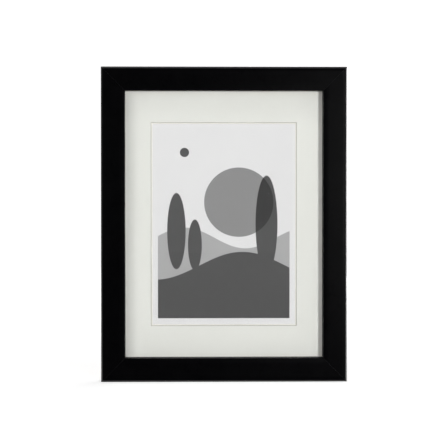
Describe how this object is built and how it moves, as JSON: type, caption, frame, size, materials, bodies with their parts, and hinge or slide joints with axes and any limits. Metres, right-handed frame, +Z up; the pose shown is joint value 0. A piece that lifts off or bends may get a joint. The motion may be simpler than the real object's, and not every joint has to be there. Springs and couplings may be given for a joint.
{
  "type": "picture frame",
  "caption": "Upright glazed picture frame with mitred black rails, a deep-set bevelled mat, a turn-button back and a hinged strut.",
  "frame": {"origin": "middle of the whole object's footprint, on the surface it stands on", "axes": "+X to the right seen from the front, +Y from the front face to the back, +Z up"},
  "size_m": [0.2114, 0.025, 0.2707],
  "materials": {
    "black_foil_mdf": "satin black foil over MDF",
    "pane_glass": "clear float glass",
    "mat_board": "matt ivory white, fine tooth",
    "printed_paper": "matt, printed in greys",
    "brown_mdf": "raw fibre board",
    "black_hardboard": "matt black laminate",
    "zinc_steel": "zinc plated"
  },
  "bodies": {
    "frame": {"rail_top": "black_foil_mdf", "rail_bottom": "black_foil_mdf", "rail_left": "black_foil_mdf", "rail_right": "black_foil_mdf", "corner_nails": "zinc_steel", "glass_pane": "pane_glass", "passe_partout": "mat_board", "insert_sheet": "printed_paper", "back_board": "brown_mdf", "turn_button_screws": "zinc_steel", "strut_hinge_plate": "zinc_steel", "strut_hinge_pin": "zinc_steel", "hinge_plate_rivets": "zinc_steel", "hanger_strap_top": "zinc_steel", "hanger_strap_side": "zinc_steel", "hanger_rivets": "zinc_steel"},
    "strut": {"strut_leg": "black_hardboard", "strut_hinge_leaf": "zinc_steel", "strut_leg_rivets": "zinc_steel"},
    "button_upper_left": {"turn_button_upper_left": "zinc_steel"},
    "button_upper_right": {"turn_button_upper_right": "zinc_steel"},
    "button_lower_left": {"turn_button_lower_left": "zinc_steel"},
    "button_lower_right": {"turn_button_lower_right": "zinc_steel"},
    "ring_top": {"hanger_ring_top": "zinc_steel"},
    "ring_side": {"hanger_ring_side": "zinc_steel"}
  },
  "joints": [
    {"name": "strut_swing", "type": "hinge", "parent": "frame", "child": "strut", "pos_m": [0, 0.0096, 0.178], "axis": [1, 0, 0], "range_deg": [0, 30]},
    {"name": "button_upper_left_turn", "type": "hinge", "parent": "frame", "child": "button_upper_left", "pos_m": [-0.09815, 0.0072, 0.20844], "axis": [0, 1, 0], "continuous": true},
    {"name": "button_upper_right_turn", "type": "hinge", "parent": "frame", "child": "button_upper_right", "pos_m": [0.09815, 0.0072, 0.20844], "axis": [0, 1, 0], "continuous": true},
    {"name": "button_lower_left_turn", "type": "hinge", "parent": "frame", "child": "button_lower_left", "pos_m": [-0.09815, 0.0072, 0.06226], "axis": [0, 1, 0], "continuous": true},
    {"name": "button_lower_right_turn", "type": "hinge", "parent": "frame", "child": "button_lower_right", "pos_m": [0.09815, 0.0072, 0.06226], "axis": [0, 1, 0], "continuous": true},
    {"name": "ring_top_swing", "type": "hinge", "parent": "frame", "child": "ring_top", "pos_m": [0, 0.00868, 0.2461], "axis": [1, 0, 0], "range_deg": [0, 180]},
    {"name": "ring_side_swing", "type": "hinge", "parent": "frame", "child": "ring_side", "pos_m": [0.0811, 0.00868, 0.13535], "axis": [0, 0, 1], "range_deg": [0, 180]}
  ]
}
